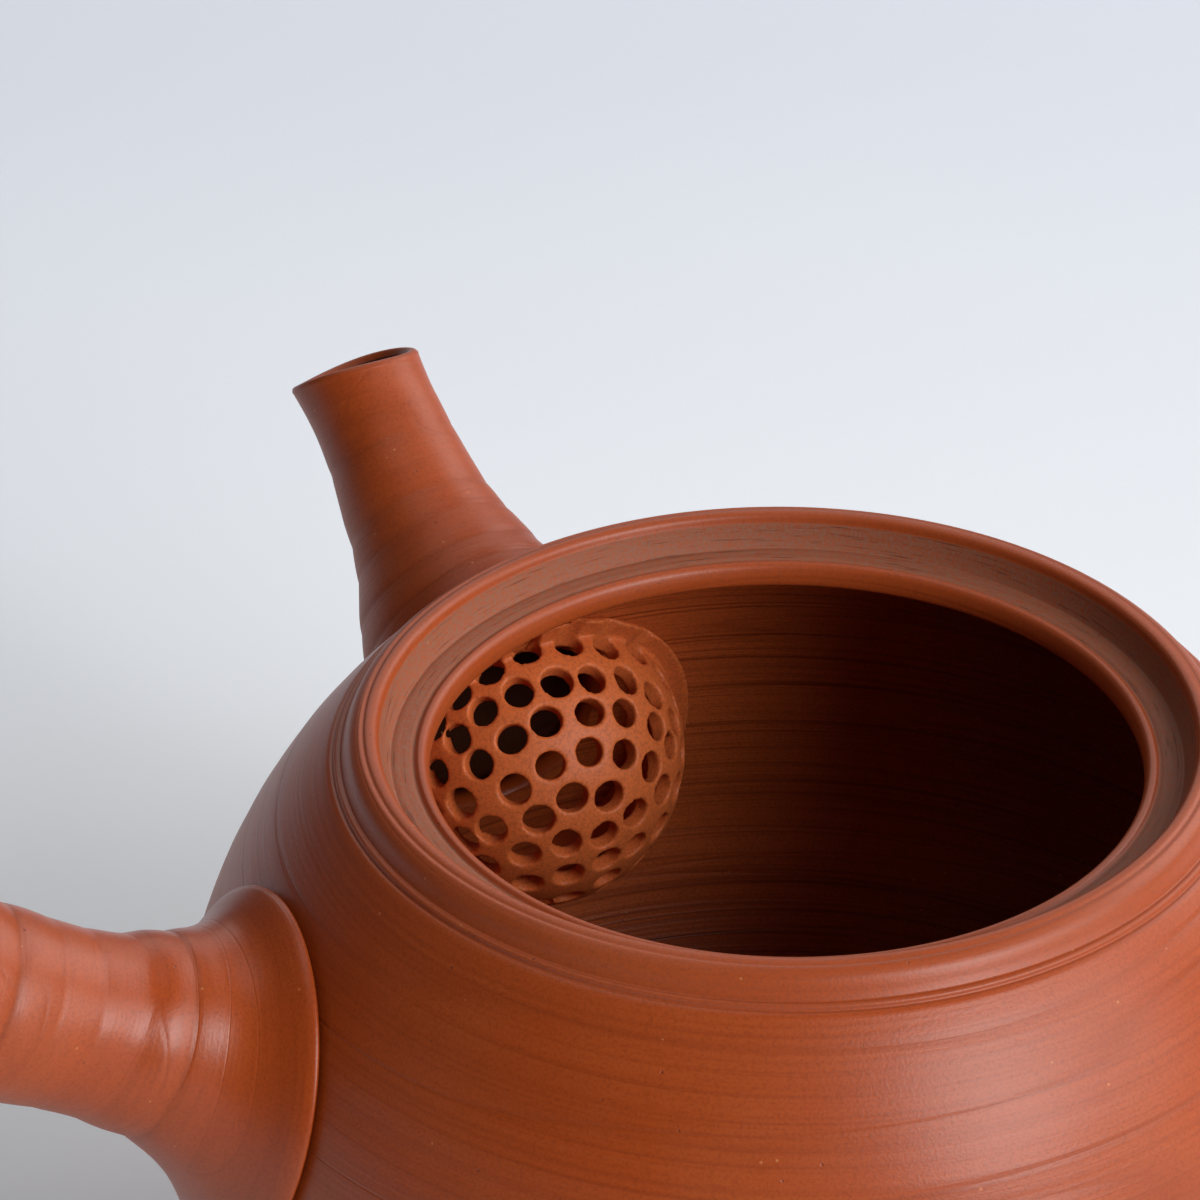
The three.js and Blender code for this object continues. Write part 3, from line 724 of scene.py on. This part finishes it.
def tube(name, context, sizes, turn, line, creases, bend, widest, sides, slant=0.0, lean=0.0, wave=0.0):
    """A thrown tube luted to the body: its foot follows the body's face, and its tip follows the slant,
    the lean and the wave of the cut. The bend moves it off its straight axis. The bore is as wide as the
    wall allows, up to the widest."""
    body = context.scene.teapot_body
    axis, side, under = tube_frame(turn, sizes.tilt)
    start = np.array([0, 0, sizes.axis_height / MM])
    reach, wall = sizes.length / MM, sizes.wall / MM
    outer = smooth_line(line, 0.26)
    tip = outer[-1, 1]
    for at, depth, width in creases:
        outer[:, 1] -= depth * np.exp(-np.abs(outer[:, 0] - at) / width)
    edge = smooth_line([(reach - back * wall, tip - inward * wall) for back, inward in TIP_EDGE], 0.15)
    shoulder = reach - 0.5 * wall
    outer = outer[outer[:, 0] < shoulder - 0.1]
    rise = np.concatenate([[shoulder - 0.15], np.linspace(shoulder - 0.8, 0.0, round(reach / 1.2))])
    thick = wall + 1.2 * np.clip((reach - rise) / 25, 0, 1)
    bore = np.minimum(widest, np.interp(rise, outer[:, 0], outer[:, 1]) - thick)
    stations = np.vstack([outer, edge, np.stack([rise, bore], 1)])
    base = outer[0, 1]
    follow = np.exp(-((stations[:, 0] / (base * 0.75)) ** 2))
    cut = np.clip(1 - (reach - stations[:, 0]) / base, 0, None)
    path = smooth_line(bend, 0.5)
    aside, down = (np.interp(stations[:, 0], path[:, 0], path[:, i])[:, None] for i in (1, 2))
    bent = aside * side + down * under
    middle = exit_distance(body, start, axis)[0]
    around = 2 * np.pi * np.arange(sides) / sides
    rows = []
    slope = math.tan(slant) * np.sin(around) + math.tan(lean) * np.cos(around) - wave * np.sin(2 * around)
    for (rise_here, radius), near, share, away in zip(stations, follow, cut, bent):
        offset = start + away + radius * (np.cos(around)[:, None] * side + np.sin(around)[:, None] * under)
        seat = exit_distance(body, offset, axis) - middle
        along = middle + rise_here + seat * near + share * radius * slope
        rows.append(offset + along[:, None] * axis)
    inside = np.arange(len(stations)) >= len(outer) + len(edge)
    fade = np.clip((stations[:, 0] - 3) / 5, 0, 1) * np.clip((reach - stations[:, 0]) / 4, 0, 1)
    # Painted shade lies in the groove at the foot, and a little in the deep creases
    crease_shade = np.clip(1 - np.abs(stations[:, 0] - 0.1) / 0.4, 0, 1)
    for at, depth, width in creases:
        crease_shade += np.clip(3 * depth - 0.3, 0, 0.3) * np.exp(-np.abs(stations[:, 0] - at) / 0.3)
    marks = {
        "raw": np.where(inside, 1.0, 0.0),
        # The bore is all painted shade
        "stain": np.where(inside, 1.0, crease_shade),
        "rings": np.where(inside, 0.0, fade),
        "lines": np.where(inside, 1.0, 0.6),
    }
    return skin(name, rows, marks, closed=True)


class TEAPOT_OT_spout(bpy.types.Operator):
    """Throw the spout and lute it to the body"""

    bl_idname = "teapot.spout"
    bl_label = "Spout"

    def execute(self, context):
        spout, look = context.scene.teapot_spout, context.scene.teapot_clay
        cut = {"slant": spout.slant, "lean": spout.lean, "wave": spout.wave}
        piece = tube("teapot_spout", context, spout, 0.0, SPOUT_LINE, SPOUT_CREASES, SPOUT_BEND, 11.5, 120, **cut)
        values = {"Pitch": spout.ring_pitch, "Depth": spout.ring_depth, "Wander": 0.9, "Seed": 11.0}
        dress(piece, "spout", "pot", values, red_clay("Thrown red clay", look, shine=-0.06, sandy=0.2))
        return {"FINISHED"}


class TEAPOT_OT_handle(bpy.types.Operator):
    """Throw the hollow handle and lute it to the body"""

    bl_idname = "teapot.handle"
    bl_label = "Handle"

    def execute(self, context):
        handle, look = context.scene.teapot_handle, context.scene.teapot_clay
        piece = tube(
            "teapot_handle", context, handle, handle.turn, HANDLE_LINE, HANDLE_CREASES, HANDLE_BEND, 11.0, 128
        )
        values = {"Pitch": handle.ring_pitch, "Depth": handle.ring_depth, "Wander": 0.8, "Seed": 5.0}
        dress(piece, "handle", "pot", values, red_clay("Finger-smoothed red clay", look, shine=0.02))
        return {"FINISHED"}


def room_inside(name, body, depth):
    """The space inside the wall as a solid, at a depth below the outer face."""
    line = wall_line(body, wall_heights(body, 12, body.height / MM - 4, 1.2), depth)
    line = np.vstack([(NEAR_AXIS, line[0, 1]), line, (NEAR_AXIS, line[-1, 1])])
    return turned(name, line, 128)


class TEAPOT_OT_strainer(bpy.types.Operator):
    """Press the strainer's dome, lute it over the port and drill its holes"""

    bl_idname = "teapot.strainer"
    bl_label = "Strainer"

    def execute(self, context):
        body, sizes = context.scene.teapot_body, context.scene.teapot_strainer
        wall, radius = sizes.wall / MM, sizes.radius / MM
        axis = tube_frame(sizes.turn, 0.0)[0]
        centre = np.array([0, 0, sizes.height / MM])
        reach = exit_distance(body, centre, axis)[0] - (body.wall + sizes.sink) / MM
        centre = centre + axis * reach
        inward = Matrix.Rotation(sizes.skew, 3, "Z") @ Vector(-axis)
        side = Vector((0, 0, 1)).cross(inward)
        turn = Matrix((side, Vector((0, 0, 1)), inward)).transposed().to_4x4()
        turn.translation = Vector(centre) * MM

        def plug(name, size, sides):
            arc = np.radians(np.linspace(0, 89.5, sides // 4))
            low = size - 2 * radius
            line = [(NEAR_AXIS, low), (size, low)] + [(size * math.cos(a), size * math.sin(a)) for a in arc]
            return turned(name, line, sides)

        dome = plug("teapot_strainer", radius, 96)
        cavity = plug("cavity", radius - wall, 72)
        collar = rod("collar", radius + sizes.collar / MM, -radius, radius, 96)
        for made in (dome, cavity, collar):
            made.data.transform(turn)
        # The dome starts at the wall's inner face, and the collar is a skin 0.9 mm thick on it
        rooms = [room_inside("room", body, body.wall / MM + gap) for gap in (0.02, 0.9)]
        boolean(collar, rooms[1], "DIFFERENCE")
        settle(collar)
        boolean(dome, collar, "UNION")
        boolean(dome, rooms[0], "INTERSECT")
        boolean(dome, cavity, "DIFFERENCE")
        fall, about = np.radians(HOLES).T
        local = np.stack([np.sin(fall) * np.cos(about), np.sin(fall) * np.sin(about), np.cos(fall)], 1)
        outward = local @ np.array(turn.to_3x3()).T
        points = mesh_object("holes", centre + outward * (radius - wall / 2), [], {"outward": outward})
        clay = red_clay("Drilled red clay", context.scene.teapot_clay, thrown=False, shine=-0.12)
        values = {"Points": points, "Radius": sizes.hole, "Depth": 4 * sizes.wall, "Seed": sizes.seed, "Clay": clay}
        run_tree(dome, drill_tree(), values)
        settle(dome)
        # Round off every edge, as the wet sponge does
        melt = dome.modifiers.new("Melt", "REMESH")
        melt.mode, melt.voxel_size, melt.use_smooth_shade = "VOXEL", 0.225 * MM, True
        soften = dome.modifiers.new("Soften", "SMOOTH")
        soften.factor, soften.iterations = 0.5, 2
        settle(dome)
        dome.data.materials.clear()
        dome.data.materials.append(clay)
        for helper in (cavity, collar, *rooms, points):
            bpy.data.objects.remove(helper)
        place(dome, "strainer", "pot")
        return {"FINISHED"}


class TEAPOT_OT_lid(bpy.types.Operator):
    """Turn the lid and its knob, and lay the lid on the table beside the body"""

    bl_idname = "teapot.lid"
    bl_label = "Lid and knob"

    def execute(self, context):
        lid = context.scene.teapot_lid
        reach = lid.reach / MM
        centre = (-math.sin(lid.turn) * reach, math.cos(lid.turn) * reach, 0)
        edge, ring, plate = lid.radius / MM, lid.ring / MM, lid.ring_depth / MM
        inner, thick = ring - lid.ring_wall / MM, lid.thickness / MM

        def crown(r):
            return lid.crown / MM * (1 - (r / edge) ** 2)

        below = smooth_line(
            [
                (0.5, plate + crown(inner / 2)), (inner / 2, plate + crown(inner / 2) - 0.1),
                (inner - 1.0, plate + crown(inner) + 0.1), (inner - 0.1, plate - 0.6), (inner, 1.2),
                (inner + 0.3, 0.25), (inner + 0.9, 0.0), (ring - 0.7, 0.0), (ring - 0.2, 0.25), (ring, 1.0),
                (ring, plate - 0.5), (ring + 0.35, plate - 0.03), (edge - 0.9, plate),
                (edge - 0.25, plate + 0.25), (edge, plate + 0.9), (edge - 0.05, plate + thick - 0.8),
                (edge - 0.5, plate + thick - 0.1 + crown(edge - 0.5)),
            ],
            0.3,
        )
        radii = np.linspace(edge - 1.0, 0.5, 90)
        above = np.stack([radii, plate + thick + crown(radii)], 1)
        profile = np.vstack([below, above])
        order = np.arange(len(profile))
        raw = np.where(order < len(below) * 0.75, 0.8, 0.0)
        rings = np.where(order > len(below) + 4, 0.8, 0.0)
        marks = {"raw": raw, "rings": rings, "lines": np.full(len(profile), 0.9)}
        piece = turned("teapot_lid", profile, 160, marks, centre)
        vent = rod("vent drill", lid.vent / MM, 0, 20, 32, {"raw": 1.0, "rings": 0.0, "lines": 0.0})
        vent.data.transform(Matrix.Translation(Vector(centre) * MM + Vector((0, lid.vent_reach, 0))))
        boolean(piece, vent, "DIFFERENCE")
        settle(piece)
        bpy.data.objects.remove(vent)
        clay = red_clay("Burnished red clay, lid", context.scene.teapot_clay)
        values = {"Pitch": 4 * MM, "Depth": 0.05 * MM, "Wander": 1.1, "Seed": 17.0}
        dress(piece, "lid", "lid", values, clay)
        knob, high = lid.knob / MM, lid.knob_height / MM
        seat = plate + thick + crown(5.4)
        line = smooth_line(
            [
                (0.5, 0), (4.6, 0), (5.5, 0.05), (5.3, 0.5), (4.6, 1.5), (4.25, 2.7), (4.6, 4.0), (5.9, 5.4),
                (7.1, 6.7), (knob, 8.3), (7.3, 9.8), (6.0, 11.3), (3.6, 12.2), (0.5, high),
            ],
            0.3,
        )
        marks = {"raw": np.zeros(len(line)), "rings": np.full(len(line), 0.6), "lines": np.full(len(line), 0.6)}
        piece = turned("teapot_knob", line, 96, marks, (centre[0], centre[1], seat))
        dress(piece, "lid_knob", "lid", {**values, "Seed": 23.0}, clay)
        return {"FINISHED"}


def soft_light(name, look, turn, rise, distance, size, watts):
    """A rectangular light that faces the pot, placed by its turn to the right of the camera."""
    lamp = bpy.data.lights.new(name, "AREA")
    lamp.shape, lamp.size, lamp.size_y = "RECTANGLE", size[0], size[1]
    lamp.energy = watts
    made = bpy.data.objects.new(name, lamp)
    bpy.context.scene.collection.objects.link(made)
    bearing, rise = math.radians(turn) - look.azimuth, math.radians(rise)
    way = Vector((math.sin(bearing) * math.cos(rise), -math.cos(bearing) * math.cos(rise), math.sin(rise)))
    made.location = way * distance + Vector((0, 0, 0.05))
    made.rotation_euler = way.to_track_quat("Z", "Y").to_euler()


class TEAPOT_OT_stage(bpy.types.Operator):
    """Set up the camera, the sheet of paper and the soft light"""

    bl_idname = "teapot.stage"
    bl_label = "Stage"

    def execute(self, context):
        scene, look = context.scene, context.scene.teapot_stage
        lens = bpy.data.cameras.new("Camera")
        lens.lens, lens.sensor_width, lens.clip_end = 180.0, 36.0, 20.0
        camera = bpy.data.objects.new("Camera", lens)
        scene.collection.objects.link(camera)
        stand = Vector((0, -math.cos(look.elevation), math.sin(look.elevation))) * look.distance
        aim = (
            Matrix.Rotation(look.aim_turn, 4, "Z")
            @ Matrix.Rotation(math.pi / 2 - look.elevation + look.aim_tilt, 4, "X")
            @ Matrix.Rotation(look.roll, 4, "Z")
        )
        about = Matrix.Translation((0, 0, scene.teapot_body.height)) @ Matrix.Rotation(-look.azimuth, 4, "Z")
        camera.matrix_world = about @ Matrix.Translation(stand) @ aim
        scene.camera = camera
        far, low = 3000, -0.2
        corners = [(-far, -far, low), (far, -far, low), (far, far, low), (-far, far, low)]
        sheet = mesh_object("paper", corners, [(0, 1, 2, 3)])
        sheet.data.materials.append(paper(look))
        # Name, turn and rise in degrees, distance and sides in metres, power
        for name, turn, rise, distance, size, watts in (
            ("Window", 45, 28, 1.6, (0.67, 0.96), look.window),
            ("Window, far side", 75, 28, 1.6, (0.64, 0.96), look.far_window),
            ("Right wall", 125, 32, 2.0, (1.5, 1.15), look.right_wall),
            ("Back wall", 180, 30, 2.0, (2.0, 1.15), look.back_wall),
            ("Left ceiling", -140, 75, 2.0, (1.5, 1.15), look.left_ceiling),
        ):
            soft_light(name, look, turn, rise, distance, size, watts)
        world = bpy.data.worlds.new("Pale room")
        scene.world = world
        world.use_nodes = True
        tree = world.node_tree
        tree.nodes.clear()
        seen = add_node(tree, "ShaderNodeLightPath").outputs["Is Camera Ray"]
        strength = add_node(tree, "ShaderNodeMapRange", {"Value": seen, "To Min": 0.06, "To Max": 0.8})
        tint = list(look.room) + [1.0]
        back = add_node(tree, "ShaderNodeBackground", {"Color": tint, "Strength": strength.outputs[0]})
        add_node(tree, "ShaderNodeOutputWorld", {"Surface": back.outputs[0]})
        scene.view_settings.view_transform = "Standard"
        return {"FINISHED"}


class TEAPOT_PT_panel(bpy.types.Panel):
    """Lists the teapot's pieces"""

    bl_label = "Clay teapot"
    bl_idname = "TEAPOT_PT_panel"
    bl_space_type = "VIEW_3D"
    bl_region_type = "UI"
    bl_category = "Teapot"

    def draw(self, context):
        for operator in OPERATORS:
            self.layout.operator(operator.bl_idname)
        for group in GROUPS:
            sizes = getattr(context.scene, group)
            box = self.layout.box()
            for key in sizes.__annotations__:
                box.prop(sizes, key)


GROUPS = {
    "teapot_body": BodySizes,
    "teapot_spout": SpoutSizes,
    "teapot_strainer": StrainerSizes,
    "teapot_handle": HandleSizes,
    "teapot_lid": LidSizes,
    "teapot_clay": ClayLook,
    "teapot_stage": StageLook,
}
OPERATORS = (
    TEAPOT_OT_stage,
    TEAPOT_OT_body,
    TEAPOT_OT_spout,
    TEAPOT_OT_strainer,
    TEAPOT_OT_handle,
    TEAPOT_OT_lid,
)


def register():
    for kind in (*GROUPS.values(), *OPERATORS, TEAPOT_PT_panel):
        bpy.utils.register_class(kind)
    for name, kind in GROUPS.items():
        setattr(bpy.types.Scene, name, bpy.props.PointerProperty(type=kind))


def unregister():
    for name in GROUPS:
        delattr(bpy.types.Scene, name)
    for kind in (TEAPOT_PT_panel, *reversed(OPERATORS), *GROUPS.values()):
        bpy.utils.unregister_class(kind)


def main():
    register()
    bpy.ops.teapot.stage()
    bpy.ops.teapot.body()
    bpy.ops.teapot.spout()
    bpy.ops.teapot.strainer()
    bpy.ops.teapot.handle()
    bpy.ops.teapot.lid()


if __name__ == "__main__":
    main()
